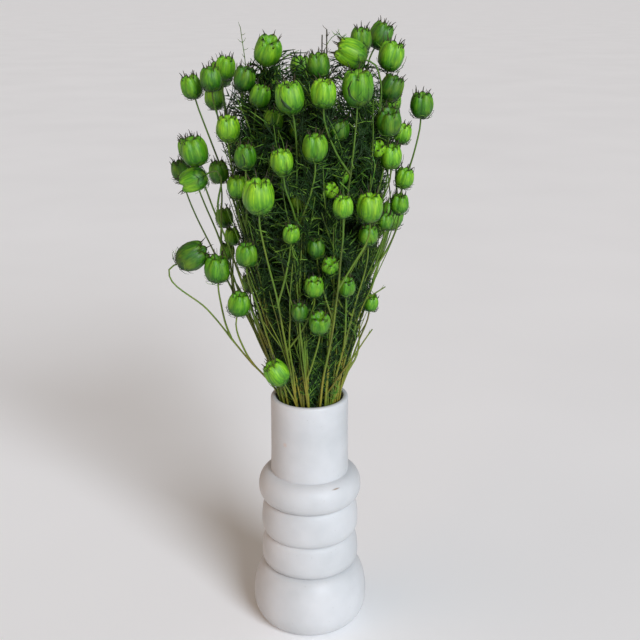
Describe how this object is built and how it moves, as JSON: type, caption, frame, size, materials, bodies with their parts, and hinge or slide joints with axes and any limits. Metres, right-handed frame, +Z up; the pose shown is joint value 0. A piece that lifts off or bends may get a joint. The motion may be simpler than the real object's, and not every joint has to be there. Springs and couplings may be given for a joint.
{
  "type": "nigella seed pods in a vase",
  "caption": "Bunch of dyed dried nigella stems with ribbed, crowned seed pods, standing in a stacked-ring stone vase.",
  "frame": {"origin": "middle of the vase's flat foot, on the surface it stands on", "axes": "+Z up along the vase's axis; -Y toward the side that the picture shows; +X to its right"},
  "size_m": [0.2132, 0.1906, 0.5215],
  "materials": {
    "vase_stone": "matte",
    "dyed_plant": "matte"
  },
  "bodies": {
    "root": {"vase": "vase_stone", "sprig_01": "dyed_plant", "sprig_02": "dyed_plant", "sprig_03": "dyed_plant", "sprig_04": "dyed_plant", "sprig_05": "dyed_plant", "sprig_06": "dyed_plant", "sprig_07": "dyed_plant", "sprig_08": "dyed_plant", "sprig_09": "dyed_plant", "sprig_10": "dyed_plant", "sprig_11": "dyed_plant", "sprig_12": "dyed_plant", "sprig_13": "dyed_plant", "sprig_14": "dyed_plant", "sprig_15": "dyed_plant", "sprig_16": "dyed_plant", "sprig_17": "dyed_plant", "sprig_18": "dyed_plant", "sprig_19": "dyed_plant", "sprig_20": "dyed_plant", "sprig_21": "dyed_plant", "sprig_22": "dyed_plant", "sprig_23": "dyed_plant", "sprig_24": "dyed_plant", "sprig_25": "dyed_plant", "sprig_26": "dyed_plant", "sprig_27": "dyed_plant", "sprig_28": "dyed_plant", "sprig_29": "dyed_plant", "sprig_30": "dyed_plant", "sprig_31": "dyed_plant", "sprig_32": "dyed_plant", "sprig_33": "dyed_plant"}
  },
  "joints": []
}
